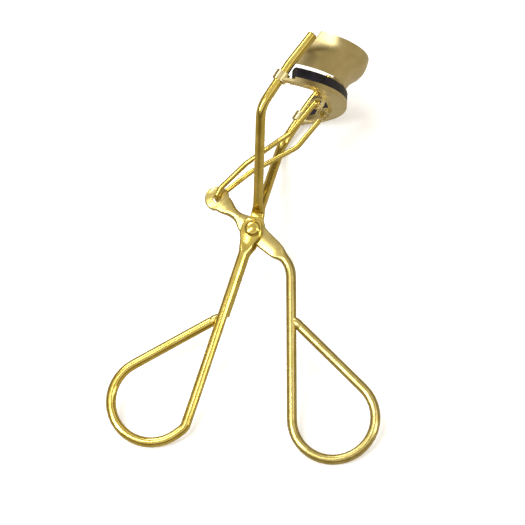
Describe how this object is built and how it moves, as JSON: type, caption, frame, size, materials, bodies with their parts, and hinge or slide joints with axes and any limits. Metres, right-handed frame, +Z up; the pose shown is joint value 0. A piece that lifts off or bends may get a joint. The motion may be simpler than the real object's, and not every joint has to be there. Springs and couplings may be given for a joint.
{
  "type": "eyelash curler",
  "caption": "Wire scissor-grip eyelash curler: a leaning cage holds a curved upper jaw, and a link slides the padded lower jaw up to it.",
  "frame": {"origin": "middle of the footprint at table height, the tool lying on its rear side", "axes": "+Z up from the table, +Y from the finger loops towards the jaws, +X from the fixed handle towards the moving handle"},
  "size_m": [0.0656, 0.1016, 0.0402],
  "materials": {
    "gold_wire": "polished gold plate",
    "gold_sheet": "satin gold plate",
    "black_rubber": "smooth"
  },
  "bodies": {
    "frame": {"frame_handle": "gold_wire", "cage_wire_front": "gold_wire", "cage_wire_rear": "gold_wire", "upper_jaw": "gold_sheet", "pivot_rivet": "gold_wire"},
    "lever": {"lever_handle": "gold_wire"},
    "link": {"link_wire": "gold_wire"},
    "jaw": {"lower_jaw": "gold_sheet", "lash_pad": "black_rubber"}
  },
  "joints": [
    {"name": "lever_hinge", "type": "hinge", "parent": "frame", "child": "lever", "pos_m": [-0.00084, 0.00314, 0.01267], "axis": [0, -0.2124, 0.9772], "range_deg": [-4, 22]},
    {"name": "link_swing", "type": "hinge", "parent": "lever", "child": "link", "pos_m": [-0.01032, 0.01038, 0.01424], "axis": [0, -0.2124, 0.9772], "range_deg": [-22.4, 4.1]},
    {"name": "jaw_slide", "type": "slide", "parent": "frame", "child": "jaw", "axis": [0.4833, 0.8555, 0.1859], "range_m": [-0.00464, 0.00085]}
  ],
  "couplings": [
    {"joint": "link_swing", "follows": "lever_hinge", "ratio": -0.9944},
    {"joint": "jaw_slide", "follows": "lever_hinge", "m_per_rad": -0.01189}
  ]
}
